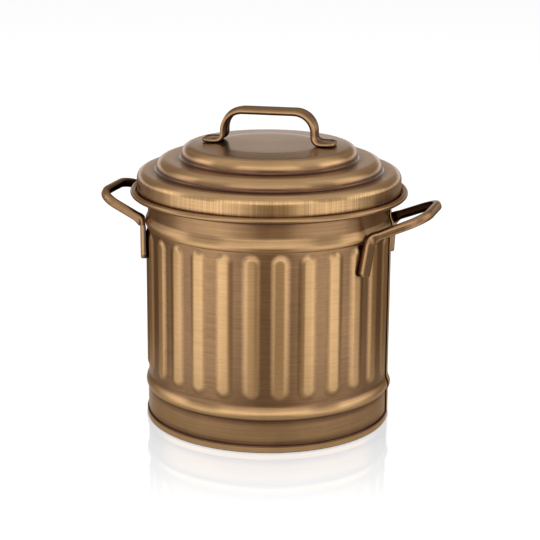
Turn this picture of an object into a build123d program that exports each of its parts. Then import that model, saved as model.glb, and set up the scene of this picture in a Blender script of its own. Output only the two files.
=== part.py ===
"""Countertop waste bin: a fluted sheet-metal pail with a stepped lift-off lid.

Millimetres, +Z up. The origin is the centre of the foot ring, on the counter.
The two side handles lie along X, and the lid handle stands a few degrees off it.
"""

import math
import os

from build123d import *

# sheet and clearances
wall_sheet = 0.6
lid_sheet = 0.6
strap_sheet = 0.8
seat_gap = 0.05

# foot ring and base
foot_radius = 80.0
foot_height = 4.9
foot_lip = 0.95
foot_edge_round = 0.6
base_panel_height = 4.0

# wall, from the foot up
wall_height = 149.6
lower_bead_level = 24.2
lower_bead_height = 6.4
lower_bead_rise = 1.3
upper_bead_drop = 18.6
upper_bead_below = 2.9
upper_bead_above = 6.0
upper_bead_rise = 1.5
neck_inset = 0.8
flare_radius = 5.2
ledge_width = 7.3
rim_curl_radius = 1.9
rim_curl_lift = 0.7
rim_curl_turn = 295.0
rim_fold_radius = 0.5

# flutes pressed outward between the two beads
flute_pitches = 28
flute_inset = 0.5
flute_rise = 1.0
flute_top_width = 8.6
flute_low_margin = 8.8
flute_high_margin = 3.4
flute_edge_round = 0.7

# lock seam that closes the wall sheet
seam_angle = 9.43
seam_width = 5.0
seam_rise = 1.0

# lid steps, from the rim in
lid_gap = 0.5
step_one_height = 14.7
step_one_width = 12.3
step_one_round = 5.0
step_two_height = 7.5
step_two_width = 16.0
step_two_round = 6.0
step_three_height = 8.7
step_three_width = 22.2
step_three_round = 6.5
valley_round = 1.4
disc_rise = 0.7

# lid handle
lid_turn = 6.0
lid_handle_set_in = 2.8
lid_handle_height = 23.0
lid_handle_corner = 15.2
lid_handle_width = 16.5
lid_handle_depth = 4.2
lid_handle_crown = 2.0
lid_bend_down = 4.4
lid_bend_out = 5.0
lid_foot_length = 8.8
lid_foot_width = 19.0
lid_foot_depth = 2.2
lid_foot_crown = 1.1
lid_foot_corner = 7.0

# side handles
side_projection = 31.3
side_tip_lift = 13.9
side_rise_angle = 22.7
side_tip_half = 25.5
side_corner = 17.0
side_width = 5.8
side_depth = 4.2
side_crown = 2.1
side_bend_in = 6.0
side_bend_down = 3.4
side_leg_angle = 22.5
side_leg_splay = 15.0
side_leg_length = 21.0
side_leg_width = 9.2
side_leg_depth = 3.7
side_leg_crown = 1.2
side_leg_corner = 2.5
bend_steps = 4

# radii and levels that follow from the sizes above
wall_radius = foot_radius - foot_lip
flute_valley = wall_radius - flute_inset
flute_crest = flute_valley + flute_rise
bead_crest = flute_valley + upper_bead_rise
neck_radius = wall_radius - neck_inset
upper_bead_level = wall_height - upper_bead_drop
flute_low = lower_bead_level + flute_low_margin
flute_high = upper_bead_level - flute_high_margin
curl_middle = rim_curl_radius - wall_sheet / 2
ledge_middle = wall_height - wall_sheet / 2
rim_inner = neck_radius + ledge_width
rim_radius = rim_inner + rim_curl_radius
rim_level = wall_height + rim_curl_lift
lid_radius = rim_inner - lid_gap
step_two_radius = lid_radius - step_one_width
step_three_radius = step_two_radius - step_two_width
disc_radius = step_three_radius - step_three_width
step_one_top = wall_height + step_one_height
step_two_top = step_one_top + step_two_height
step_three_top = step_two_top + step_three_height
disc_level = step_three_top + disc_rise
seam_arc = math.degrees(seam_width / wall_radius)


def wall_line(outset):
    """Draws the middle of the wall sheet from the foot to the neck, moved out by outset."""
    middle = outset - wall_sheet / 2
    half = lower_bead_height / 2
    bottom = foot_height if outset else wall_sheet + seat_gap
    band = Line((wall_radius + middle, bottom), (wall_radius + middle, lower_bead_level - half))
    low_bead = ThreePointArc(
        band @ 1,
        (wall_radius + lower_bead_rise + middle, lower_bead_level),
        (flute_valley + middle, lower_bead_level + half),
    )
    field = Line(low_bead @ 1, (flute_valley + middle, upper_bead_level - upper_bead_below))
    crest = Vector(bead_crest + middle, upper_bead_level)
    neck_start = Vector(neck_radius + middle, upper_bead_level + upper_bead_above)
    flank = (crest + neck_start) / 2
    TangentArc(crest, field @ 1, tangent=(0, -1))
    TangentArc(crest, flank, tangent=(0, 1))
    TangentArc(neck_start, flank, tangent=(0, -1))
    return neck_start


def flute_press(inset):
    """One flute as a round-ended block with sloping sides, facing +X and moved in by inset."""
    half_base = flute_top_width / 2 + flute_rise
    base = math.sqrt((flute_valley - seat_gap) ** 2 - half_base**2)
    height = flute_crest - base
    with BuildPart() as press:
        with BuildSketch(Plane.YZ.offset(base - inset)):
            with Locations((0, (flute_low + flute_high) / 2)):
                SlotOverall(flute_high - flute_low, flute_top_width + 2 * height, rotation=90)
        extrude(amount=height, taper=45)
        fillet(press.faces().sort_by(Axis.X)[-1].edges(), radius=flute_edge_round)
    return press.part


def strap_plane(origin, along, crown):
    """The plane across a strap that runs along, with +Y towards its crowned side."""
    return Plane(origin=origin, x_dir=crown.cross(along), z_dir=along)


def strap_face(plane, width, depth, crown):
    """The section of a strap, crowned on the plane's +Y side and open on its -Y side."""
    side = width / 2
    top = depth / 2
    inside = side - strap_sheet
    inner_round = crown - strap_sheet
    with BuildSketch(plane) as section:
        with BuildLine():
            FilletPolyline(
                (-side, -top),
                (-side, top),
                (side, top),
                (side, -top),
                (inside, -top),
                (inside, top - strap_sheet),
                (-inside, top - strap_sheet),
                (-inside, -top),
                radius=[0, crown, crown, 0, 0, inner_round, inner_round, 0],
                close=True,
            )
        make_face()
    return section.sketch


def bend_faces(start, corner, stop, first_crown, last_crown, first_size, last_size):
    """Sections of a strap round a bend that may also turn its crown and change its size."""
    faces = []
    for step in range(bend_steps + 1):
        part = step / bend_steps
        middle = start * (1 - part) ** 2 + corner * (2 * part * (1 - part)) + stop * part**2
        along = (corner - start) * (1 - part) + (stop - corner) * part
        crown = first_crown * (1 - part) + last_crown * part
        size = [a + (b - a) * part for a, b in zip(first_size, last_size)]
        faces.append(strap_face(strap_plane(middle, along.normalized(), crown), *size))
    return faces


def pad(plane, width, length, depth, crown, corner):
    """A block along +Y with its two far corners rounded and its outer face eased."""
    with BuildPart() as block:
        with BuildSketch(plane) as face:
            Rectangle(width, length, align=(Align.CENTER, Align.MIN))
            fillet(face.vertices().group_by(Axis.Y)[-1], radius=corner)
        extrude(amount=depth)
        outer = block.faces().sort_by(Axis(plane.origin, plane.z_dir))[-1]
        fillet(outer.edges().sort_by(Axis(plane.origin, plane.y_dir))[1:], radius=crown)
    return block.part


def flat_end(start, along, crown_side, length, width, depth, crown, corner):
    """The flattened, hollow end of a strap, from start along its heading."""
    open_side = start - crown_side * (depth / 2)
    plane = Plane(origin=open_side, x_dir=along.cross(crown_side), z_dir=crown_side)
    skin = pad(plane, width, length, depth, crown, corner)
    hollow = pad(
        plane,
        width - 2 * strap_sheet,
        length - strap_sheet,
        depth - strap_sheet,
        crown - strap_sheet,
        corner - strap_sheet,
    )
    return skin - hollow


# base pan: a raised floor whose edge folds under and up round the wall
with BuildPart() as base_pan:
    with BuildSketch(Plane.XZ) as pan_section:
        inside = wall_radius - wall_sheet - seat_gap
        outside = wall_radius + seat_gap
        with BuildLine():
            Polyline(
                (0, base_panel_height),
                (inside - wall_sheet, base_panel_height),
                (inside - wall_sheet, 0),
                (foot_radius, 0),
                (foot_radius, foot_height),
                (outside, foot_height),
                (outside, wall_sheet),
                (inside, wall_sheet),
                (inside, base_panel_height + wall_sheet),
                (0, base_panel_height + wall_sheet),
                close=True,
            )
        make_face()
        fillet(pan_section.vertices().sort_by(Axis.X)[-2:], radius=foot_edge_round)
    revolve(axis=Axis.Z)
base_pan.part.label = "base_pan"

# wall: beads, flutes, neck, ledge and curled rim in one sheet, closed by a lock seam
flute_angles = [seam_angle + i * 360 / flute_pitches for i in range(1, flute_pitches)]
flute_turns = [Location((0, 0, 0), (0, 0, angle)) for angle in flute_angles]
with BuildPart() as body_wall:
    with BuildSketch(Plane.XZ):
        with BuildLine():
            neck_start = wall_line(0)
            FilletPolyline(
                neck_start,
                (neck_radius - wall_sheet / 2, ledge_middle),
                (rim_radius - curl_middle, ledge_middle),
                (rim_radius - curl_middle, rim_level),
                radius=[flare_radius, rim_fold_radius],
            )
            CenterArc((rim_radius, rim_level), curl_middle, 180, -rim_curl_turn)
        trace(line_width=wall_sheet)
    revolve(axis=Axis.Z)
    outer_press = flute_press(0)
    inner_press = flute_press(wall_sheet)
    with Locations(flute_turns):
        add(outer_press)
        add(inner_press, mode=Mode.SUBTRACT)
    with BuildSketch(Plane.XZ.rotated((0, 0, seam_angle - seam_arc / 2), Extrinsic.XYZ)):
        with BuildLine():
            seam_top = wall_line((seam_rise + wall_sheet) / 2)
            Line(seam_top, (seam_top.X, ledge_middle - flare_radius))
        trace(line_width=seam_rise)
    revolve(axis=Axis.Z, revolution_arc=seam_arc)
body_wall.part.label = "body_wall"


def lid_form(inset):
    """The lid as a filled turned form, drawn in by inset."""
    with BuildPart() as form:
        with BuildSketch(Plane.XZ):
            with BuildLine():
                outline = FilletPolyline(
                    (0, wall_height - inset),
                    (lid_radius - inset, wall_height - inset),
                    (lid_radius - inset, step_one_top - inset),
                    (step_two_radius - inset, step_one_top - inset),
                    (step_two_radius - inset, step_two_top - inset),
                    (step_three_radius - inset, step_two_top - inset),
                    (step_three_radius - inset, step_three_top - inset),
                    (disc_radius, disc_level - inset),
                    (0, disc_level - inset),
                    radius=[
                        0,
                        step_one_round - inset,
                        valley_round + inset,
                        step_two_round - inset,
                        valley_round + inset,
                        step_three_round - inset,
                        0,
                    ],
                )
                Line(outline @ 1, outline @ 0)
            make_face()
        revolve(axis=Axis.Z)
    return form.part


# lid: one stepped pressing, hollow underneath
lid_skin = lid_form(0)
lid_hollow = lid_form(lid_sheet)
with BuildPart() as lid_shell:
    add(lid_skin)
    add(lid_hollow, mode=Mode.SUBTRACT)
lid_shell.part.label = "lid_shell"

# lid handle: a crowned strap arch on two flattened feet
up = Vector(0, 0, 1)
out = Vector(1, 0, 0)
arch_half = disc_radius - lid_handle_set_in - lid_handle_depth / 2
arch_top = disc_level + lid_handle_height - lid_handle_depth / 2
foot_middle = disc_level + seat_gap + lid_foot_depth / 2
arch_foot = Vector(arch_half, 0, foot_middle)
arch_end = arch_foot + up * lid_bend_down
foot_start = arch_foot + out * lid_bend_out
arch_size = (lid_handle_width, lid_handle_depth, lid_handle_crown)
foot_size = (lid_foot_width, lid_foot_depth, lid_foot_crown)
with BuildPart() as lid_foot:
    loft(bend_faces(arch_end, arch_foot, foot_start, out, up, arch_size, foot_size))
    add(flat_end(foot_start, out, up, lid_foot_length, *foot_size, lid_foot_corner))
with BuildPart() as lid_arch:
    with BuildLine(Plane.XZ):
        FilletPolyline(
            (arch_half, arch_end.Z),
            (arch_half, arch_top),
            (-arch_half, arch_top),
            (-arch_half, arch_end.Z),
            radius=lid_handle_corner - lid_handle_depth / 2,
        )
    sweep(strap_face(strap_plane(arch_end, up, out), *arch_size))
    add(lid_foot.part)
    mirror(lid_foot.part, about=Plane.YZ)
    split(bisect_by=Plane.XY.offset(disc_level + seat_gap), keep=Keep.TOP)
with BuildPart() as lid_handle:
    add(lid_arch.part, rotation=(0, 0, lid_turn))
lid_handle.part.label = "lid_handle"

# side handles: a rising strap loop whose ends twist down into two flat legs
side_rise = math.tan(math.radians(side_rise_angle))
loop_out = Vector(1, 0, side_rise).normalized()
loop_normal = loop_out.cross(Vector(0, 1, 0))
tip = Vector(wall_radius + side_projection - side_depth / 2, 0, upper_bead_level + side_tip_lift)
leg_out = out.rotate(Axis.Z, side_leg_angle)
leg_foot = leg_out * (flute_crest + seat_gap + side_leg_depth / 2)
knuckle = leg_foot + up * (tip.Z - (tip.X - leg_foot.X) * side_rise)
arm_way = (tip + Vector(0, side_tip_half, 0) - knuckle).normalized()
arm_crown = loop_normal.cross(arm_way)
arm_end = knuckle + arm_way * side_bend_in
leg_way = (-up).rotate(Axis((0, 0, 0), leg_out), side_leg_splay)
leg_start = knuckle + leg_way * side_bend_down
arm_size = (side_width, side_depth, side_crown)
leg_size = (side_leg_width, side_leg_depth, side_leg_crown)
loop_plane = Plane(origin=tip, x_dir=loop_out, z_dir=loop_normal)
arm_root = loop_plane.to_local_coords(arm_end)
with BuildPart() as side_leg:
    loft(bend_faces(arm_end, knuckle, leg_start, arm_crown, leg_out, arm_size, leg_size))
    add(flat_end(leg_start, leg_way, leg_out, side_leg_length, *leg_size, side_leg_corner))
with BuildPart() as side_handle_right:
    with BuildLine(loop_plane):
        FilletPolyline(
            (arm_root.X, arm_root.Y),
            (0, side_tip_half),
            (0, -side_tip_half),
            (arm_root.X, -arm_root.Y),
            radius=side_corner,
        )
    sweep(strap_face(strap_plane(arm_end, arm_way, arm_crown), *arm_size))
    add(side_leg.part)
    mirror(side_leg.part, about=Plane.XZ)
    with BuildSketch(Plane.XY.offset(flute_high)):
        Circle(bead_crest + seat_gap)
    extrude(amount=upper_bead_drop, mode=Mode.SUBTRACT)
side_handle_right.part.label = "side_handle_right"

with BuildPart() as side_handle_left:
    add(side_handle_right.part, rotation=(0, 0, 180))
side_handle_left.part.label = "side_handle_left"

os.makedirs("parts", exist_ok=True)
for piece in (base_pan, body_wall, lid_shell, lid_handle, side_handle_right, side_handle_left):
    export_step(piece.part, f"parts/{piece.part.label}.step")
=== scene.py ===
"""Looks for the countertop waste bin: fluted antique-brass pail, stepped lid, strap handles."""

import math

import bmesh
import bpy
from mathutils import Matrix, Vector


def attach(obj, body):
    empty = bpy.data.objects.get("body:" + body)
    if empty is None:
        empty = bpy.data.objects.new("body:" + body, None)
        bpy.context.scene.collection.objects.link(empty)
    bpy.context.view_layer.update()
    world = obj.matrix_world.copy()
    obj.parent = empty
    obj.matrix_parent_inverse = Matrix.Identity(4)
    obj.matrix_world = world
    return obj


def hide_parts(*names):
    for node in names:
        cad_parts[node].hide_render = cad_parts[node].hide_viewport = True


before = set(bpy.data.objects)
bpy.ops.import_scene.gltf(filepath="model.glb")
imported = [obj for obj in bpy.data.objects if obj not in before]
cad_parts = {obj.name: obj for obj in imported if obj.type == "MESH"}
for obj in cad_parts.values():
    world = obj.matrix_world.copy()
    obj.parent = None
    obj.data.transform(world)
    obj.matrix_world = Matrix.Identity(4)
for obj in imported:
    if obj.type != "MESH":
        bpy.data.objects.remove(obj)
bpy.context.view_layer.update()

MM = 0.001

# sizes shared with the solid model, in millimetres
WALL = 79.05
FOOT = 80.0
FOOT_TOP = 4.9
SHEET = 0.6
FLUTE_VALLEY = 78.55
FLUTE_RISE = 1.0
FLUTE_COUNT = 28
FLUTE_LOW = 33.0
FLUTE_HIGH = 127.6
FLUTE_HALF = 6.6
FLUTE_SIDE = 4.4
FLUTE_END = 7.0
BEAD_LOW = 24.2
BEAD_HIGH = 131.0
BEAD_CREST = 80.05
BEAD_RISE = 3.2
BEAD_SWELL = 1.3
NECK = 78.25
NECK_TOP = 144.1
LEDGE = 149.6
LEDGE_BEND = 5.2
LEDGE_EDGE = 0.5
RIM = 87.45
RIM_LEVEL = 150.3
CURL = 1.58
SEAM_ANGLE = 9.43
LID = 85.05
STEP_TWO = 72.75
STEP_THREE = 56.75
DISC = 34.55
STEP_ONE_TOP = 164.3
STEP_TWO_TOP = 171.8
STEP_THREE_TOP = 180.5
DISC_TOP = 181.2
STRAP = 0.8
LOOP_REACH = 31.3
LOOP_LIFT = 13.9
LOOP_RISE = 22.7
LOOP_HALF = 25.5
LOOP_CORNER = 17.0
LEG_PLACE = 22.5
LEG_SPLAY = 15.0
LEG_LENGTH = 21.0
LEG_CORNER = 2.5
ARM_SIZE = (5.8, 4.2, 2.1)
LEG_SIZE = (9.2, 3.7, 1.2)
GRIP_SET_IN = 2.8
GRIP_HEIGHT = 22.98
GRIP_CORNER = 13.1
GRIP_TURN = 6.0
GRIP_SIZE = (16.5, 4.2)
GRIP_FOOT_SIZE = (19.0, 2.2)
GRIP_FOOT_LENGTH = 8.8
GRIP_FOOT_CORNER = 7.0
GRIP_BEAD = 1.7
CLEARANCE = 0.05


def mix(a, b, t):
    """Value between a and b."""
    return a + (b - a) * t


def arc(cx, cz, radius, start, stop, steps):
    """Points of an arc in the (radius, height) plane, angles in degrees."""
    angles = [math.radians(start + (stop - start) * i / steps) for i in range(steps + 1)]
    return [(cx + radius * math.cos(a), cz + radius * math.sin(a)) for a in angles]


def line(a, b, steps):
    """Evenly spaced points from a to b."""
    shares = [i / steps for i in range(steps + 1)]
    return [(mix(a[0], b[0], t), mix(a[1], b[1], t)) for t in shares]


def smooth(x):
    """Eased step from 0 to 1."""
    x = min(max(x, 0.0), 1.0)
    return x * x * (3 - 2 * x)


def swift(x):
    """Eased step from 0 to 1 that starts steep."""
    return math.sin(math.pi / 2 * x) ** 0.8


def swell(start, stop, steps, ease):
    """Points from start to stop whose radius is eased along the height."""
    shares = [i / steps for i in range(steps + 1)]
    return [(mix(start[0], stop[0], ease(t)), mix(start[1], stop[1], t)) for t in shares]


def join(*runs):
    """One polyline from several, without doubled points."""
    points = []
    for run in runs:
        for p in run:
            if not points or math.dist(p, points[-1]) > 1e-4:
                points.append(p)
    return points


def normals(points):
    """Left-hand normals of a polyline, averaged at its points."""
    out = []
    for i in range(len(points)):
        a = points[max(i - 1, 0)]
        b = points[min(i + 1, len(points) - 1)]
        dx, dz = b[0] - a[0], b[1] - a[1]
        length = math.hypot(dx, dz)
        out.append((dz / length, -dx / length))
    return out


def new_object(name, verts, faces, attribute=None):
    """A smooth mesh object in metres from millimetre points."""
    mesh = bpy.data.meshes.new(name)
    mesh.from_pydata([(x * MM, y * MM, z * MM) for x, y, z in verts], [], faces)
    mesh.validate()
    for poly in mesh.polygons:
        poly.use_smooth = True
    if attribute:
        # the attribute holds patina together with painted shade and painted highlights
        layer = mesh.attributes.new("shade_and_patina", "FLOAT", "POINT")
        layer.data.foreach_set("value", attribute)
    obj = bpy.data.objects.new(name, mesh)
    bpy.context.scene.collection.objects.link(obj)
    return obj


def ring_faces(rows, columns, closed_rows=False):
    """Quads of a grid that closes on itself round its columns."""
    faces = []
    last = rows if closed_rows else rows - 1
    for i in range(last):
        j = (i + 1) % rows
        for k in range(columns):
            m = (k + 1) % columns
            faces.append((i * columns + k, i * columns + m, j * columns + m, j * columns + k))
    return faces


def face_out(obj):
    """Turns all faces of a closed mesh outward."""
    bm = bmesh.new()
    bm.from_mesh(obj.data)
    bmesh.ops.recalc_face_normals(bm, faces=bm.faces)
    bm.to_mesh(obj.data)
    bm.free()


def sharpen(obj, degrees):
    """Keeps edges crisp where faces meet at more than the given angle."""
    limit = math.radians(degrees)
    bm = bmesh.new()
    bm.from_mesh(obj.data)
    for edge in bm.edges:
        if len(edge.link_faces) == 2 and edge.calc_face_angle(0) > limit:
            edge.smooth = False
    bm.to_mesh(obj.data)
    bm.free()


# wall
def wall_line():
    """Middle line of the wall sheet, from inside the foot to the end of the rim curl."""
    half = SHEET / 2
    band = WALL - half
    field = FLUTE_VALLEY - half
    neck = NECK - half
    ledge = LEDGE - half
    mouth = RIM - CURL
    low_start = (band, BEAD_LOW - BEAD_RISE)
    low_crest = (band + BEAD_SWELL, BEAD_LOW)
    low_end = (field, BEAD_LOW + 2 * BEAD_RISE)
    high_start = (field, BEAD_HIGH - 2.9)
    high_crest = (BEAD_CREST - half, BEAD_HIGH)
    high_end = (neck, BEAD_HIGH + 6.4)
    field_low = (field, FLUTE_LOW + FLUTE_END)
    field_high = (field, FLUTE_HIGH - FLUTE_END)
    return join(
        line((band, 1.0), low_start, 5),
        swell(low_start, low_crest, 10, swift),
        swell(low_crest, low_end, 10, lambda t: 0.5 - 0.5 * math.cos(math.pi * t)),
        line(low_end, (field, FLUTE_LOW), 3),
        line((field, FLUTE_LOW), field_low, 14),
        line(field_low, field_high, 12),
        line(field_high, (field, FLUTE_HIGH), 14),
        line((field, FLUTE_HIGH), high_start, 1),
        swell(high_start, high_crest, 8, swift),
        swell(high_crest, high_end, 14, smooth),
        line(high_end, (neck, NECK_TOP), 5),
        arc(neck + LEDGE_BEND, NECK_TOP, LEDGE_BEND, 180, 90, 10),
        line((neck + LEDGE_BEND, ledge), (mouth - LEDGE_EDGE, ledge), 3),
        arc(mouth - LEDGE_EDGE, ledge + LEDGE_EDGE, LEDGE_EDGE, -90, 0, 4),
        line((mouth, ledge + LEDGE_EDGE), (mouth, RIM_LEVEL), 1),
        arc(RIM, RIM_LEVEL, CURL, 180, -115, 26),
    )


def flute(theta, z):
    """Share of the flute's rise at an angle in degrees and a height."""
    pitch = 360 / FLUTE_COUNT
    k = round((theta - SEAM_ANGLE) / pitch)
    if k % FLUTE_COUNT == 0:
        return 0.0
    across = math.radians(theta - SEAM_ANGLE - k * pitch) * WALL
    middle = min(max(z, FLUTE_LOW + FLUTE_HALF), FLUTE_HIGH - FLUTE_HALF)
    reach = math.hypot(across, z - middle)
    return smooth((FLUTE_HALF - reach) / FLUTE_SIDE)


def crevice_shade(z):
    """Painted shade: darkening in the crevices over the foot, under the low bead and under the rim."""
    levels = (FOOT_TOP + 0.3, BEAD_LOW - BEAD_RISE - 0.1, LEDGE - 3.0, LEDGE - 1.0)
    near = min(abs(z - level) for level in levels)
    return 1.0 - smooth((near - 0.3) / 1.6)


def band_tone_and_shade(z):
    """Brown tone of the plain bands, with painted shade deepest just above the low bead, and both bead
    crests left light, partly as wear and partly as a painted highlight.
    """
    from_low = abs(z - BEAD_LOW) / (1.9 if z > BEAD_LOW else 1.0)
    from_high = abs(z - BEAD_HIGH) / 1.4
    deepest = 0.75 if BEAD_LOW < z < FLUTE_LOW else 0.42
    brown = deepest * smooth((min(from_low, from_high) - 0.8) / 2.2)
    return max(brown, 0.25) if z > FLUTE_HIGH else brown


def wall_shade_and_patina(r, z, rise, beside, fluted):
    """Darkening of the wall: painted shade, black beside the seam and brown in the crevices and under
    the rim; patina together with painted shade between the flutes.
    """
    # painted shade: the wall just beside the seam is painted black for the seam's gap
    crevice = 1.5 if -8.0 < beside < -4.0 and FOOT_TOP < z < LEDGE - 2 else 0.0
    # painted shade: below the flute valleys' radius (the sheet's inner side and the neck under the
    # rim) a fixed 0.6, elsewhere the crevice darkening
    hollow = crevice_shade(z) if r > FLUTE_VALLEY - 0.2 else 0.6
    # between the flutes the valleys darken, patina and painted shade together
    plain = 0.7 * (1.0 - rise) if fluted else band_tone_and_shade(z)
    return max(crevice, hollow, plain)


def make_wall():
    """The wall: one sheet with beads, flutes, neck, ledge and curled rim."""
    middle = wall_line()
    side = normals(middle)
    columns = FLUTE_COUNT * 22
    rows = []
    for sign in (1, -1):
        half = sign * SHEET / 2
        run = [(p[0] + n[0] * half, p[1] + n[1] * half) for p, n in zip(middle, side)]
        rows += run if sign == 1 else run[::-1]
    verts = []
    shade_and_patina = []
    for r, z in rows:
        fluted = FLUTE_LOW - 0.1 <= z <= FLUTE_HIGH + 0.1 and r < WALL + 1
        for k in range(columns):
            theta = SEAM_ANGLE + 360 * k / columns
            rise = flute(theta, z) if fluted else 0.0
            a = math.radians(theta)
            reach = r + rise * FLUTE_RISE
            verts.append((reach * math.cos(a), reach * math.sin(a), z))
            beside = math.radians((theta - SEAM_ANGLE + 180) % 360 - 180) * WALL
            shade_and_patina.append(wall_shade_and_patina(r, z, rise, beside, fluted))
    obj = new_object("pail_wall", verts, ring_faces(len(rows), columns, closed_rows=True), shade_and_patina)
    face_out(obj)
    sharpen(obj, 50)
    return obj


def make_seam():
    """The lock seam: a folded strip that stands proud of the wall and leaves a crevice."""
    half = SHEET / 2
    upright = [p for p in wall_line() if p[0] < BEAD_CREST + 1 and FOOT_TOP <= p[1] <= NECK_TOP + 0.1]
    middle = [(WALL - half, FOOT_TOP + CLEARANCE)] + upright
    side = normals(middle)
    # offset along the wall, then height above it, from the open front edge to the back
    section = [
        (-4.2, 0.02), (-4.6, 0.45), (-4.55, 0.8), (-4.3, 0.97), (-3.7, 1.0), (0.0, 1.0), (1.3, 0.95),
        (1.9, 0.8), (2.2, 0.5), (2.5, 0.15), (2.6, -0.1), (0.0, -0.2),
    ]
    verts = []
    for p, n in zip(middle, side):
        for offset, height in section:
            r = p[0] + n[0] * (half + height)
            z = p[1] + n[1] * (half + height)
            a = math.radians(SEAM_ANGLE) + offset / WALL
            verts.append((r * math.cos(a), r * math.sin(a), z))
    count = len(section)
    faces = ring_faces(len(middle), count)
    faces.append(tuple(range(count)))
    faces.append(tuple(range(count * (len(middle) - 1), count * len(middle)))[::-1])
    obj = new_object("lock_seam", verts, faces, [0.2] * len(verts))
    face_out(obj)
    sharpen(obj, 60)
    return obj


# base
def make_base():
    """The base pan: foot ring with a rounded lip round the wall, and a raised floor."""
    sheet_low = 4.0
    sheet_top = sheet_low + SHEET
    round_edge = 0.7
    inner_edge = 0.5
    lip = 0.55
    lip_level = 4.2
    fold = 0.65
    inside = FOOT - 2.3
    slot_in = WALL - SHEET - 0.15
    slot_out = WALL + CLEARANCE
    outline = join(
        [(0.01, sheet_low), (FOOT / 2, sheet_low)],
        arc(inside - round_edge, sheet_low - round_edge, round_edge, 90, 0, 4),
        arc(inside + inner_edge, inner_edge, inner_edge, 180, 270, 4),
        line((inside + inner_edge, 0.0), (FOOT - round_edge, 0.0), 2),
        arc(FOOT - round_edge, round_edge, round_edge, -90, 0, 6),
        line((FOOT, round_edge), (FOOT, lip_level), 4),
        arc(FOOT - lip, lip_level, lip, 0, 110, 6),
        [(slot_out + 0.03, lip_level + 0.1), (slot_out, fold), (slot_in, fold), (slot_in, sheet_top)],
        [(FOOT / 2, sheet_top), (0.01, sheet_top)],
    )
    columns = 224
    verts = []
    for r, z in outline:
        for k in range(columns):
            a = 2 * math.pi * k / columns
            verts.append((r * math.cos(a), r * math.sin(a), z))
    faces = ring_faces(len(outline), columns)
    faces.append(tuple(range(columns))[::-1])
    faces.append(tuple(range(columns * (len(outline) - 1), columns * len(outline))))
    # painted shade: the whole pan is dark except the ring's upright outer face, so the rounded lip
    # under the wall and the bottom edge read as crevice and shade
    unshaded = [round_edge - 0.1 < z < lip_level - 0.3 and r > FOOT - 0.1 for r, z in outline]
    ring_shade = [0.1 if bright else 1.0 for bright in unshaded for _ in range(columns)]
    obj = new_object("base_ring", verts, faces, ring_shade)
    face_out(obj)
    sharpen(obj, 40)
    return obj


# lid
def lid_line():
    """Outer line of the lid from the skirt's edge to the axis."""
    round_one = 5
    round_two = 6
    round_three = 6.5
    hollow = 1.4
    slope_start = STEP_THREE - round_three + 0.1
    disc_edge = 0.6
    return join(
        line((LID, LEDGE + 0.02), (LID, STEP_ONE_TOP - round_one), 6),
        arc(LID - round_one, STEP_ONE_TOP - round_one, round_one, 0, 90, 14),
        line((LID - round_one, STEP_ONE_TOP), (STEP_TWO + hollow, STEP_ONE_TOP), 4),
        arc(STEP_TWO + hollow, STEP_ONE_TOP + hollow, hollow, 270, 180, 7),
        arc(STEP_TWO - round_two, STEP_TWO_TOP - round_two, round_two, 0, 90, 16),
        line((STEP_TWO - round_two, STEP_TWO_TOP), (STEP_THREE + hollow, STEP_TWO_TOP), 4),
        arc(STEP_THREE + hollow, STEP_TWO_TOP + hollow, hollow, 270, 180, 7),
        arc(STEP_THREE - round_three, STEP_THREE_TOP - round_three, round_three, 0, 89, 16),
        line((slope_start, STEP_THREE_TOP), (DISC + disc_edge, DISC_TOP - 0.05), 6),
        line((DISC + disc_edge, DISC_TOP - 0.05), (DISC - disc_edge, DISC_TOP), 2),
        line((DISC - disc_edge, DISC_TOP), (0.6, DISC_TOP), 8),
    )


def lid_shade_and_patina(place):
    """Darkening of the lid at a radius and height: patina and painted shade in the inner corners of
    the steps and at the skirt's edge, painted shade on the top's slope.
    """
    corners = (
        (STEP_TWO + 0.5, STEP_ONE_TOP + 0.5),
        (STEP_THREE + 0.5, STEP_TWO_TOP + 0.5),
        (LID, LEDGE),
    )
    near = min(math.dist(place, corner) for corner in corners)
    # painted shade on the top's slope, from the disc out to the last step's shoulder
    slope = 0.4 if place[1] > STEP_THREE_TOP - 1.0 and place[0] > DISC + 0.5 else 0.1
    return max(slope, 1.0 - smooth((near - 0.8) / 4.5))


def make_lid():
    """The lid: one stepped pressing, hollow underneath."""
    outer = lid_line()
    side = normals(outer)
    inner = [(max(p[0] - n[0] * SHEET, 0.5), p[1] - n[1] * SHEET) for p, n in zip(outer, side)]
    inner[0] = (inner[0][0], LEDGE + 0.02)
    rows = outer + inner[::-1]
    columns = 320
    verts = []
    for r, z in rows:
        for k in range(columns):
            a = 2 * math.pi * k / columns
            verts.append((r * math.cos(a), r * math.sin(a), z))
    top = len(outer) - 1
    faces = ring_faces(len(rows), columns, closed_rows=True)
    del faces[top * columns : (top + 1) * columns]
    faces.append(tuple(range(top * columns, (top + 1) * columns)))
    faces.append(tuple(range((top + 1) * columns, (top + 2) * columns))[::-1])
    shade_and_patina = [lid_shade_and_patina(row) for row in rows for _ in range(columns)]
    obj = new_object("lid_pressing", verts, faces, shade_and_patina)
    face_out(obj)
    sharpen(obj, 50)
    return obj


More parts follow.
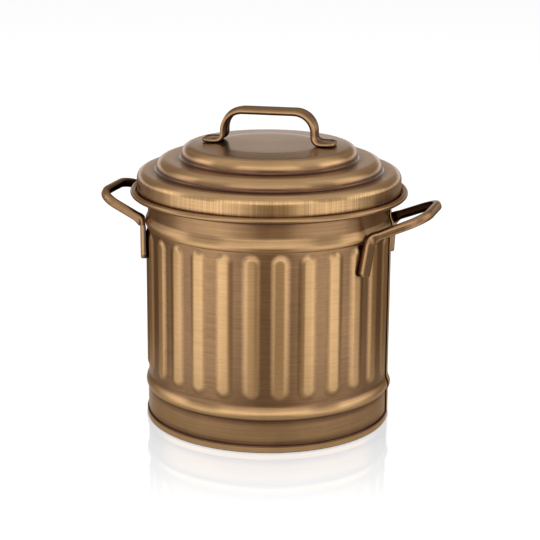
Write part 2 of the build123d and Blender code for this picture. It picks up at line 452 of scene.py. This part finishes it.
# straps
def channel(width, depth, crown, fill=0.0):
    """Section of a strap: crowned on +b, open on -b; fill from 0 to 1 closes the hollow."""
    side, top = width / 2, depth / 2
    height = depth - crown
    left_side = [(-side, 0.25 - top + rise) for rise in (0, (height - 0.4) / 5)]
    left_side += [(-side, share * height - top) for share in (0.5, 0.75)]
    left = left_side + arc(-side + crown, top - crown, crown, 180, 90, 7)
    inner_half = side - crown
    outer = left + [(inner_half * (i / 3 - 1), top) for i in range(1, 6)]
    outer += [(-a, b) for a, b in left[::-1]]
    inner_round = max(crown - STRAP, 0.25)
    open_top = top - STRAP
    level = 0.12 - top
    inside = side - STRAP
    hollow = [(inside, 0.15 - top)]
    hollow += arc(inside - inner_round, open_top - inner_round, inner_round, 0, 90, 4)
    hollow += [(-a, b) for a, b in hollow][::-1]
    hollow = [(a, mix(b, level, fill)) for a, b in hollow]
    tips = [(side - STRAP * 0.3, -top), (side - STRAP * 0.75, -top)]
    return outer + tips + hollow + [(-a, b) for a, b in tips[::-1]]


def rolled_height(distance, side, depth, under):
    """Height of the lid strap's face at a distance from its edge: bead, groove, then a low crown."""
    top = depth / 2
    roll = min(GRIP_BEAD, top)
    middle = roll - top
    bead_end = 1.87 * roll
    if distance < bead_end:
        bulge = math.sqrt(max(roll**2 - (roll - distance) ** 2, 0))
        return middle + (-bulge if under else bulge)
    height = mix(middle + roll / 2, top, smooth((distance - bead_end) / (side - bead_end)))
    return height - STRAP if under else height


def beaded(width, depth, tip=math.inf, half_width=None):
    """Section of the lid strap, with a rolled bead along each edge; tip is the distance to its end."""
    side = width / 2
    roll = min(GRIP_BEAD, depth / 2)
    half_width = side if half_width is None else half_width
    bead = [roll * d for d in (0.0, 0.04, 0.15, 0.32, 0.55, 0.8, 1.05, 1.3, 1.55, 1.75, 1.86)]
    field = [mix(1.88 * roll, side, i / 6) for i in range(7)]
    steps = bead + field
    over = [(d - side, rolled_height(min(d, tip), side, depth, False)) for d in steps]
    over += [(-a, b) for a, b in over[-2::-1]]
    under = [(side - d, rolled_height(min(d, tip), side, depth, True)) for d in steps[1:]]
    under += [(-a, b) for a, b in under[-2::-1]]
    return [(a * half_width / side, b) for a, b in over + under]


def rounding(radius, left):
    """How far a rounded end has drawn in at a distance from its tip."""
    return radius - math.sqrt(max(radius**2 - max(radius - left, 0) ** 2, 0))


def tip_stations(length, corner, steps):
    """Distances along a strap's end, closer together towards its rounded tip."""
    return [length - corner * (1 - math.sin(math.pi / 2 * i / steps)) for i in range(steps + 1)]


def rolled_end(start, along, crown, length, size, corner):
    """Frames of the lid strap's flattened end, with its bead carried round the rounded tip."""
    width, depth = size
    across = crown.cross(along).normalized()
    frames = []
    for s in [0.0, 0.8, 1.5] + tip_stations(length, corner, 20):
        left = length - s
        half_width = width / 2 - rounding(corner, left)
        section = beaded(width, depth, tip=left, half_width=half_width)
        frames.append((start + along * s, across, crown, section))
    return frames


def sweep(name, frames, shade_and_patina):
    """A closed strap mesh from frames of (origin, across, crown side, section)."""
    verts = []
    count = len(frames[0][3])
    for origin, across, crown, section in frames:
        for a, b in section:
            verts.append(tuple(origin + across * a + crown * b))
    faces = ring_faces(len(frames), count)
    faces.append(tuple(range(count))[::-1])
    faces.append(tuple(range(count * (len(frames) - 1), count * len(frames))))
    obj = new_object(name, verts, faces, [shade_and_patina(i % count, count) for i in range(len(verts))])
    face_out(obj)
    sharpen(obj, 48)
    return obj


def bend(start, corner, stop, first_crown, last_crown, first, last, steps, shape):
    """Frames of a strap round a bend that may turn its crown and change its size."""
    frames = []
    for i in range(1, steps):
        t = i / steps
        origin = start * (1 - t) ** 2 + corner * (2 * t * (1 - t)) + stop * t * t
        along = ((corner - start) * (1 - t) + (stop - corner) * t).normalized()
        crown = first_crown * (1 - t) + last_crown * t
        across = crown.cross(along).normalized()
        size = [mix(a, b, t) for a, b in zip(first, last)]
        frames.append((origin, across, along.cross(across), shape(*size)))
    return frames


def flat_end(start, along, crown, length, size, corner):
    """Frames of a strap's flattened end, closed at its rounded tip."""
    width, depth, edge = size
    across = crown.cross(along).normalized()
    frames = []
    straight = [length * i / 16 for i in range(13)]
    stations = [s for s in straight if s < length - corner - 0.2] + tip_stations(length, corner, 12)
    for s in stations:
        left = length - s
        narrow = 1 - rounding(corner, left) / (width / 2)
        highest = depth / 2 - rounding(edge, left)
        section = channel(width, depth, edge, fill=1.0 if left < STRAP else 0.0)
        scaled = [(a * narrow, min(b, highest)) for a, b in section]
        frames.append((start + along * s, across, crown, scaled))
    return frames


def turn(v, degrees):
    """A vector turned about the bin's axis."""
    a = math.radians(degrees)
    return Vector((v.x * math.cos(a) - v.y * math.sin(a), v.x * math.sin(a) + v.y * math.cos(a), v.z))


def rounded_path(points, radius, steps):
    """Points and directions along a polyline with rounded corners."""
    out = [(points[0], (points[1] - points[0]).normalized())]
    for before, here, after in zip(points, points[1:], points[2:]):
        into = (here - before).normalized()
        away = (after - here).normalized()
        bend_angle = into.angle(away)
        cut = radius * math.tan(bend_angle / 2)
        start = here - into * cut
        side = (away - into * into.dot(away)).normalized()
        centre = start + side * radius
        for i in range(steps + 1):
            a = bend_angle * i / steps
            point = centre - side * radius * math.cos(a) + into * radius * math.sin(a)
            out.append((point, into * math.cos(a) + side * math.sin(a)))
    out.append((points[-1], (points[-1] - points[-2]).normalized()))
    return out


def aligned(frames):
    """The frames of a strap with their across directions kept on one side."""
    kept = frames[:1]
    for origin, across, crown, section in frames[1:]:
        turned = across.dot(kept[-1][1]) < 0
        kept.append((origin, across * -1 if turned else across, crown, section))
    return kept


def side_strap_painted_light(i, count):
    """Painted light across a side strap: painted highlights on the rounded corners, a browner face,
    black painted shade on the sides and in the hollow.
    """
    hollow_start = count - 14
    if i >= hollow_start:
        return 1.05
    reach = min(i, hollow_start - 1 - i)
    if reach < 3:
        return 1.15
    return 0.1 if reach < 12 else 0.4


def make_side_handle(name, half_turn):
    """A rising strap loop whose ends twist down into two flat legs."""
    up = Vector((0, 0, 1))
    rise = math.tan(math.radians(LOOP_RISE))
    loop_normal = Vector((1, 0, rise)).normalized().cross(Vector((0, 1, 0)))
    tip = Vector((WALL + LOOP_REACH - ARM_SIZE[1] / 2, 0, BEAD_HIGH + LOOP_LIFT))
    leg_out = turn(Vector((1, 0, 0)), LEG_PLACE)
    leg_foot = leg_out * (FLUTE_VALLEY + FLUTE_RISE + CLEARANCE + LEG_SIZE[1] / 2)
    knuckle = leg_foot + up * (tip.z - (tip.x - leg_foot.x) * rise)
    tip_corner = tip + Vector((0, LOOP_HALF, 0))
    arm_way = (tip_corner - knuckle).normalized()
    arm_crown = loop_normal.cross(arm_way)
    arm_end = knuckle + arm_way * 6.0
    side_way = turn(Vector((0, 1, 0)), LEG_PLACE)
    splay = math.radians(LEG_SPLAY)
    leg_way = (side_way * math.sin(splay) - up * math.cos(splay)).normalized()
    leg_start = knuckle + leg_way * 3.4
    leg = bend(arm_end, knuckle, leg_start, arm_crown, leg_out, ARM_SIZE, LEG_SIZE, 14, channel)
    leg += flat_end(leg_start, leg_way, leg_out, LEG_LENGTH, LEG_SIZE, LEG_CORNER)
    flip = Vector((1, -1, 1))
    corners = [arm_end, tip_corner, tip_corner * flip, arm_end * flip]
    loop = []
    for point, along in rounded_path(corners, LOOP_CORNER, 16):
        crown = loop_normal.cross(along)
        loop.append((point, along.cross(crown), crown, channel(*ARM_SIZE)))
    near = [(o, a * -1, c, s) for o, a, c, s in leg[::-1]]
    far = [(o * flip, a * flip, c * flip, s) for o, a, c, s in leg]
    frames = aligned(near + loop + far)
    if half_turn:
        frames = [(turn(o, 180), turn(a, 180), turn(c, 180), s) for o, a, c, s in frames]
    obj = sweep(name, frames, side_strap_painted_light)
    clear = (BEAD_CREST + CLEARANCE) * MM
    for v in obj.data.vertices:
        reach = math.hypot(v.co.x, v.co.y)
        if v.co.z > FLUTE_HIGH * MM and reach < clear:
            v.co.x *= clear / reach
            v.co.y *= clear / reach
    return obj


def lid_strap_painted_light(i, count):
    """Painted light across the lid strap: painted highlights on the beads, painted shade in the groove
    and underneath, a browner field.
    """
    under_start = count // 2 + 2
    if i >= under_start:
        return 1.0
    reach = min(i, under_start - 1 - i)
    if reach < 8:
        return 0.0
    return 1.0 if reach < 13 else 0.45


def make_lid_handle():
    """A crowned strap arch on two flattened feet."""
    up = Vector((0, 0, 1))
    out = Vector((1, 0, 0))
    half = DISC - GRIP_SET_IN - GRIP_SIZE[1] / 2
    top = DISC_TOP + GRIP_HEIGHT - GRIP_SIZE[1] / 2
    foot = Vector((half, 0, DISC_TOP + CLEARANCE + GRIP_FOOT_SIZE[1] / 2))
    arch_end = foot + up * 4.4
    foot_start = foot + out * 5.0
    leg = bend(arch_end, foot, foot_start, out, up, GRIP_SIZE, GRIP_FOOT_SIZE, 12, beaded)
    leg += rolled_end(foot_start, out, up, GRIP_FOOT_LENGTH, GRIP_FOOT_SIZE, GRIP_FOOT_CORNER)
    flip = Vector((-1, 1, 1))
    corners = [arch_end, Vector((half, 0, top)), Vector((-half, 0, top)), arch_end * flip]
    arch = []
    for point, along in rounded_path(corners, GRIP_CORNER, 16):
        crown = Vector((along.z, 0, -along.x))
        arch.append((point, crown.cross(along), crown, beaded(*GRIP_SIZE)))
    far = [(o * flip, a, c * flip, s) for o, a, c, s in leg]
    frames = aligned(leg[::-1] + arch + far)
    frames = [
        (turn(o, GRIP_TURN), turn(a, GRIP_TURN), turn(c, GRIP_TURN), s) for o, a, c, s in frames
    ]
    return sweep("lid_grip", frames, lid_strap_painted_light)


# materials
# ends of the brass tone: the dark end stands for patina and for painted shade
GOLD = (0.43, 0.262, 0.115, 1)
BROWN = (0.09, 0.036, 0.014, 1)
STRAP_GOLD = (0.30, 0.165, 0.072, 1)
STRAP_BROWN = (0.05, 0.022, 0.01, 1)
# darkest stop: painted shade in crevices, the seam gap, strap sides, hollows and undersides
SHADE_BLACK = (0.012, 0.007, 0.004, 1)
WARM_EDGE = (0.7, 0.55, 0.42, 1)
LID_EDGE = (0.97, 0.88, 0.84, 1)
WHITE = (1, 1, 1, 1)
COAT = 0.4
COAT_ROUGHNESS = 0.28
DISC_GLOSS = 0.14
DISC_COAT = 0.35
# share of the mesh's patina and painted shade attribute in the brass tone
SHADE_AND_PATINA_SHARE = 0.85
PATINA_BASE = 0.1
FINE_MARKS = 0.5
BROAD_MARKS = 0.35
# noise cells per metre, or per radian for the first of a brush mark's or streak's three
BRUSH_CELLS = (2.5, 1400.0, 1400.0)
GRAIN_CELLS = (700.0, 700.0, 700.0)
BLOTCH_CELLS = (38.0, 38.0, 22.0)
STREAK_CELLS = (130.0, 2.0, 9.0)


def new_material(name):
    """An empty node material, its tree and its output node."""
    mat = bpy.data.materials.new(name)
    mat.use_nodes = True
    mat.node_tree.nodes.clear()
    return mat, mat.node_tree, mat.node_tree.nodes.new("ShaderNodeOutputMaterial")


def node(tree, kind, **values):
    """A shader node with its properties and input values set."""
    n = tree.nodes.new(kind)
    for key, value in values.items():
        if key in n.inputs:
            n.inputs[key].default_value = value
        else:
            setattr(n, key, value)
    return n


def math_node(tree, operation, a, b=None):
    """A maths node on sockets or numbers."""
    n = tree.nodes.new("ShaderNodeMath")
    n.operation = operation
    for i, value in enumerate((a, b)):
        if value is None:
            continue
        if isinstance(value, (int, float)):
            n.inputs[i].default_value = value
        else:
            tree.links.new(value, n.inputs[i])
    return n.outputs[0]


def scaled_noise(tree, parts, scales, detail):
    """Noise in stretched coordinates, for brush marks."""
    combine = tree.nodes.new("ShaderNodeCombineXYZ")
    for i, (part, scale) in enumerate(zip(parts, scales)):
        tree.links.new(math_node(tree, "MULTIPLY", part, scale), combine.inputs[i])
    noise = node(tree, "ShaderNodeTexNoise", Scale=1.0, Detail=detail, Roughness=0.6)
    tree.links.new(combine.outputs[0], noise.inputs["Vector"])
    return noise.outputs[0]


def centred(tree, value, amount):
    """A noise value turned into a small plus or minus."""
    return math_node(tree, "MULTIPLY", math_node(tree, "SUBTRACT", value, 0.5), amount)


def plane_length(tree, x, y):
    """Length of the level part of a place."""
    squares = [math_node(tree, "MULTIPLY", part, part) for part in (x, y)]
    return math_node(tree, "SQRT", math_node(tree, "ADD", *squares))


def brass(name, brushed, light, dark, roughness, anisotropic, streaks=0.0, edge=WARM_EDGE):
    """Antique brass: brushed round the axis or plain, darker where the mesh's attribute of patina and
    painted shade is high, lighter where it paints a highlight.
    """
    mat, tree, out = new_material(name)
    shader = node(tree, "ShaderNodeBsdfPrincipled", Metallic=1.0, Anisotropic=anisotropic)
    shader.inputs["Specular Tint"].default_value = edge
    shader.inputs["Coat Weight"].default_value = COAT
    shader.inputs["Coat Roughness"].default_value = COAT_ROUGHNESS
    tree.links.new(shader.outputs[0], out.inputs[0])
    coords = tree.nodes.new("ShaderNodeTexCoord")
    split = tree.nodes.new("ShaderNodeSeparateXYZ")
    tree.links.new(coords.outputs["Object"], split.inputs[0])
    x, y, z = split.outputs
    radius = plane_length(tree, x, y)
    angle = math_node(tree, "ARCTAN2", y, x)
    if brushed:
        fine = scaled_noise(tree, (angle, radius, z), BRUSH_CELLS, 3.0)
    else:
        fine = scaled_noise(tree, (x, y, z), GRAIN_CELLS, 3.0)
    broad = scaled_noise(tree, (x, y, z), BLOTCH_CELLS, 3.0)
    # the attribute paints patina together with shade and highlights into the tone
    shade_and_patina = node(tree, "ShaderNodeAttribute", attribute_name="shade_and_patina")
    tone = math_node(tree, "MULTIPLY", shade_and_patina.outputs["Fac"], SHADE_AND_PATINA_SHARE)
    tone = math_node(tree, "ADD", tone, centred(tree, fine, FINE_MARKS))
    tone = math_node(tree, "ADD", tone, centred(tree, broad, BROAD_MARKS))
    if streaks:
        upright = scaled_noise(tree, (angle, radius, z), STREAK_CELLS, 4.0)
        skirt = math_node(tree, "GREATER_THAN", radius, (LID - 0.7) * MM)
        marks = math_node(tree, "MULTIPLY", skirt, centred(tree, upright, streaks))
        tone = math_node(tree, "ADD", tone, marks)
    # tone runs from gold through brown to black; the black end is painted shade
    black_share = 0.74
    ramp = tree.nodes.new("ShaderNodeValToRGB")
    stops = ramp.color_ramp.elements
    stops[0].color = light
    stops[1].position = 0.7
    stops[1].color = dark
    stops.new(1.0).color = SHADE_BLACK
    scaled = math_node(tree, "MULTIPLY", math_node(tree, "ADD", tone, PATINA_BASE), black_share)
    tree.links.new(scaled, ramp.inputs[0])
    tree.links.new(ramp.outputs[0], shader.inputs["Base Color"])
    rough = math_node(tree, "ADD", math_node(tree, "MULTIPLY", fine, 0.10), roughness - 0.05)
    if streaks:
        disc = math_node(tree, "LESS_THAN", radius, DISC * MM)
        gloss = math_node(tree, "MULTIPLY", disc, DISC_GLOSS)
        rough = math_node(tree, "SUBTRACT", rough, gloss)
        coat = math_node(tree, "ADD", math_node(tree, "MULTIPLY", disc, DISC_COAT), COAT)
        tree.links.new(coat, shader.inputs["Coat Weight"])
    tree.links.new(rough, shader.inputs["Roughness"])
    bump = node(tree, "ShaderNodeBump", Strength=0.05, Distance=0.0002)
    tree.links.new(fine, bump.inputs["Height"])
    tree.links.new(bump.outputs[0], shader.inputs["Normal"])
    if brushed:
        tangent = node(tree, "ShaderNodeTangent", direction_type="RADIAL", axis="Z")
        tree.links.new(tangent.outputs[0], shader.inputs["Tangent"])
        shader.inputs["Anisotropic Rotation"].default_value = 0.25
    return mat


wall_brass = brass("wall_brass_brushed", True, GOLD, BROWN, 0.30, 0.7)
lid_brass = brass("lid_brass_brushed", True, GOLD, BROWN, 0.24, 0.55, streaks=1.2, edge=LID_EDGE)
strap_brass = brass("strap_brass", False, STRAP_GOLD, STRAP_BROWN, 0.30, 0.0)

wall = make_wall()
seam = make_seam()
base = make_base()
lid = make_lid()
grip = make_lid_handle()
right = make_side_handle("right_loop", False)
left = make_side_handle("left_loop", True)

for piece, material, slot, body, nodes in (
    (wall, wall_brass, "wall_brass", "bin", ["body_wall"]),
    (seam, wall_brass, "wall_brass", "bin", []),
    (base, wall_brass, "base_brass", "bin", ["base_pan"]),
    (lid, lid_brass, "lid_brass", "lid", ["lid_shell"]),
    (grip, strap_brass, "handle_brass", "lid", ["lid_handle"]),
    (right, strap_brass, "handle_brass", "bin", ["side_handle_right"]),
    (left, strap_brass, "handle_brass", "bin", ["side_handle_left"]),
):
    piece.data.materials.append(material)
    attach(piece, body)
    if nodes:
        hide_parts(*nodes)


# stage
def plane(name, centre, normal, width, height, material):
    """A flat card of the stage, facing along normal."""
    rotation = Vector(normal).to_track_quat("Z", "Y")
    corners = [(a * width / 2, b * height / 2) for a, b in ((-1, -1), (1, -1), (1, 1), (-1, 1))]
    verts = [tuple((rotation @ Vector((a, b, 0)) + Vector(centre)) / MM) for a, b in corners]
    obj = new_object(name, verts, [(0, 1, 2, 3)])
    obj.data.materials.append(material)
    return obj


def seen(tree):
    """1 for rays that show the backdrop: from the camera, off gloss and through glass."""
    path = tree.nodes.new("ShaderNodeLightPath")
    total = math_node(tree, "MAXIMUM", path.outputs["Is Camera Ray"], path.outputs["Is Glossy Ray"])
    return math_node(tree, "MAXIMUM", total, path.outputs["Is Transmission Ray"])


def spread(tree, value, low, high, start=0.0, stop=1.0, eased=False):
    """A value carried from one range to another and held at both ends."""
    n = tree.nodes.new("ShaderNodeMapRange")
    n.interpolation_type = "SMOOTHSTEP" if eased else "LINEAR"
    for socket, number in (("From Min", low), ("From Max", high), ("To Min", start), ("To Max", stop)):
        n.inputs[socket].default_value = number
    tree.links.new(value, n.inputs["Value"])
    return n.outputs["Result"]


def blend(tree, factor, first, second):
    """A mix of two colours, each a socket or plain numbers."""
    n = node(tree, "ShaderNodeMix", data_type="RGBA")
    tree.links.new(factor, n.inputs[0])
    for index, colour in ((6, first), (7, second)):
        if isinstance(colour, tuple):
            n.inputs[index].default_value = colour
        else:
            tree.links.new(colour, n.inputs[index])
    return n.outputs[2]


def combine(tree, kind, first, second):
    """An added or mixed shader; the two are its last inputs."""
    n = tree.nodes.new(kind)
    tree.links.new(first, n.inputs[-2])
    tree.links.new(second, n.inputs[-1])
    return n


def make_floor():
    """Pale floor that reads white but keeps the bin's soft shadow and a fading reflection."""
    mat, tree, out = new_material("floor_white")
    diffuse = node(tree, "ShaderNodeBsdfDiffuse", Color=(0.22, 0.22, 0.22, 1))
    glow = node(tree, "ShaderNodeEmission", Color=WHITE)
    tree.links.new(math_node(tree, "MULTIPLY", seen(tree), 0.86), glow.inputs["Strength"])
    pale = combine(tree, "ShaderNodeAddShader", diffuse.outputs[0], glow.outputs[0])
    # the mirror part and its lift add up to white where the backdrop shows in it
    gloss = node(tree, "ShaderNodeBsdfGlossy", Color=(0.78, 0.72, 0.68, 1), Roughness=0.015)
    lift = node(tree, "ShaderNodeEmission", Color=(0.22, 0.28, 0.32, 1))
    tree.links.new(seen(tree), lift.inputs["Strength"])
    mirror = combine(tree, "ShaderNodeAddShader", gloss.outputs[0], lift.outputs[0])
    place = tree.nodes.new("ShaderNodeNewGeometry")
    away = node(tree, "ShaderNodeVectorMath", operation="LENGTH")
    tree.links.new(place.outputs["Position"], away.inputs[0])
    mixed = combine(tree, "ShaderNodeMixShader", pale.outputs[0], mirror.outputs[0])
    fade = spread(tree, away.outputs["Value"], 0.085, 0.22, 0.45, 0.0)
    tree.links.new(fade, mixed.inputs[0])
    tree.links.new(mixed.outputs[0], out.inputs[0])
    return plane("floor", (0, 0, -0.0002), (0, 0, 1), 8.0, 8.0, mat)


def make_world():
    """White for rays that show the backdrop, dim for the rest."""
    world = bpy.data.worlds.new("studio")
    bpy.context.scene.world = world
    world.use_nodes = True
    tree = world.node_tree
    tree.nodes.clear()
    out = tree.nodes.new("ShaderNodeOutputWorld")
    sky = node(tree, "ShaderNodeBackground", Color=WHITE)
    tree.links.new(math_node(tree, "MAXIMUM", seen(tree), 0.45), sky.inputs["Strength"])
    tree.links.new(sky.outputs[0], out.inputs[0])


make_floor()
make_world()

CAMERA_BEARING = -73.0
TENT_RADIUS = 2400.0
TENT_FOOT = 80.6
TENT_LOW = 0.4
# light by bearing from the camera's, for what looks level or down, in degrees
SIDE_LEVELS = (
    (-180, 0.28), (-125, 0.28), (-100, 0.6), (-78, 1.8), (-45, 2.2), (-24, 1.4), (-6, 0.42),
    (14, 0.42), (28, 1.4), (44, 2.1), (66, 1.8), (86, 0.7), (108, 0.3), (180, 0.3),
)
# light by height over the horizon, behind the bin and on the camera's side
REAR_LEVELS = ((0, 1.05), (12.2, 1.05), (14.8, 0.36), (32, 0.5), (55, 0.85), (90, 1.0))
FRONT_LEVELS = ((0, 1.2), (5, 2.1), (18, 2.6), (30, 1.8), (50, 1.2), (90, 1.0))
FOOT_LEVEL = 0.7


def warmed(level):
    """Light of a card: white where it is bright, warmer where the room is dim."""
    white = smooth((level - 0.4) / 0.45)
    return (level, level * (0.80 + 0.20 * white), level * (0.58 + 0.42 * white), 1)


def level_ramp(tree, angle, levels, low, high):
    """A smooth light along an angle, from (degrees, level) pairs."""
    ramp = tree.nodes.new("ShaderNodeValToRGB")
    ramp.color_ramp.interpolation = "EASE"
    stops = ramp.color_ramp.elements
    while len(stops) < len(levels):
        stops.new(0.5)
    for stop, (degrees, level) in zip(stops, levels):
        stop.position = (degrees - low) / (high - low)
        stop.color = warmed(level)
    share = spread(tree, angle, math.radians(low), math.radians(high))
    tree.links.new(share, ramp.inputs[0])
    return ramp.outputs[0]


def tent_light():
    """Glow of the tent by direction; it shows on the inner side only."""
    mat, tree, out = new_material("tent_light")
    place = tree.nodes.new("ShaderNodeNewGeometry")
    turned = node(tree, "ShaderNodeVectorRotate", rotation_type="Z_AXIS")
    turned.inputs["Angle"].default_value = math.radians(-CAMERA_BEARING)
    tree.links.new(place.outputs["Position"], turned.inputs["Vector"])
    split = tree.nodes.new("ShaderNodeSeparateXYZ")
    tree.links.new(turned.outputs[0], split.inputs[0])
    x, y, z = split.outputs
    flat = plane_length(tree, x, y)
    height = math_node(tree, "ARCTAN2", z, flat)
    behind = math_node(tree, "DIVIDE", math_node(tree, "MULTIPLY", x, -1.0), flat)
    front = level_ramp(tree, height, FRONT_LEVELS, 0, 90)
    rear = level_ramp(tree, height, REAR_LEVELS, 0, 90)
    high = blend(tree, spread(tree, behind, 0.1, 0.6, eased=True), front, rear)
    sides = level_ramp(tree, math_node(tree, "ARCTAN2", y, x), SIDE_LEVELS, -180, 180)
    by_foot = spread(tree, flat, 0.10, 0.26, 1.0, 0.0, eased=True)
    low = blend(tree, by_foot, sides, warmed(FOOT_LEVEL))
    light = blend(tree, spread(tree, height, 0.0, math.radians(4)), low, high)
    # what the floor mirrors has passed the tent's own low part, and sees the white backdrop
    path = tree.nodes.new("ShaderNodeLightPath")
    first = math_node(tree, "LESS_THAN", path.outputs["Ray Depth"], 1.5)
    from_floor = math_node(tree, "MINIMUM", path.outputs["Transparent Depth"], first)
    glow = tree.nodes.new("ShaderNodeEmission")
    tree.links.new(blend(tree, from_floor, light, WHITE), glow.inputs["Color"])
    clear = tree.nodes.new("ShaderNodeBsdfTransparent")
    one_sided = combine(tree, "ShaderNodeMixShader", clear.outputs[0], glow.outputs[0])
    tree.links.new(place.outputs["Backfacing"], one_sided.inputs[0])
    tree.links.new(one_sided.outputs[0], out.inputs[0])
    return mat


def make_tent():
    """A light tent that only reflections see: cards and dark gaps round the bin, a bright top."""
    steps = 10
    rows = [(mix(TENT_FOOT, TENT_RADIUS, (i / steps) ** 2), TENT_LOW) for i in range(steps + 1)]
    rows += arc(0, TENT_LOW, TENT_RADIUS, 0, 89.5, 24)[1:]
    columns = 96
    verts = []
    for r, z in rows:
        for k in range(columns):
            a = 2 * math.pi * k / columns
            verts.append((r * math.cos(a), r * math.sin(a), z))
    tent = new_object("light_tent", verts, ring_faces(len(rows), columns))
    tent.data.materials.append(tent_light())
    tent.visible_camera = False
    tent.visible_diffuse = False
    tent.visible_transmission = False
    tent.visible_shadow = False


make_tent()


def around(azimuth, distance, height):
    """A place round the bin; azimuth is measured from the camera towards the image's right."""
    a = math.radians(azimuth + CAMERA_BEARING)
    return Vector((distance * math.cos(a), distance * math.sin(a), height))


def softbox(name, azimuth, distance, height, width, tall, power):
    """A large area lamp that faces the bin; gloss and the camera don't see it."""
    lamp = bpy.data.lights.new(name, "AREA")
    lamp.shape = "RECTANGLE"
    lamp.size = width
    lamp.size_y = tall
    lamp.energy = power
    obj = bpy.data.objects.new(name, lamp)
    bpy.context.scene.collection.objects.link(obj)
    obj.location = around(azimuth, distance, height)
    aim = Vector((0, 0, LAMP_AIM))
    obj.rotation_mode = "QUATERNION"
    obj.rotation_quaternion = (aim - obj.location).to_track_quat("-Z", "Y")
    obj.visible_camera = False
    obj.visible_glossy = False


LAMP_AIM = 0.1
softbox("top_box", 0, 0.1, 1.6, 1.4, 1.4, 22)
softbox("left_box", -62, 1.3, 0.75, 0.9, 1.3, 8)
softbox("right_box", 55, 1.3, 0.75, 0.7, 1.3, 6)

# camera at the photograph's angle
PHOTO_WIDTH = 540
FOCAL_PIXELS = 1620.94
SENSOR = 36.0
FRAME_TURN = 17.0
CAMERA_PLACE = (0, -1022.81, 376.30)
CAMERA_FORWARD = (0.000892, 0.964566, -0.263840)
CAMERA_RIGHT = (0.999974, 0.001020, 0.007110)


def make_camera():
    """The camera that was fitted to the photograph, turned into the bin's frame."""
    data = bpy.data.cameras.new("camera")
    data.sensor_width = SENSOR
    data.lens = SENSOR * FOCAL_PIXELS / PHOTO_WIDTH
    data.clip_start = 0.05
    data.clip_end = 60
    camera = bpy.data.objects.new("camera", data)
    bpy.context.scene.collection.objects.link(camera)
    forward = turn(Vector(CAMERA_FORWARD), FRAME_TURN)
    right_way = turn(Vector(CAMERA_RIGHT), FRAME_TURN)
    top_way = right_way.cross(forward)
    camera.location = turn(Vector(CAMERA_PLACE), FRAME_TURN) * MM
    camera.rotation_mode = "QUATERNION"
    camera.rotation_quaternion = Matrix((right_way, top_way, -forward)).transposed().to_quaternion()
    bpy.context.scene.camera = camera


make_camera()
bpy.context.scene.view_settings.view_transform = "Standard"
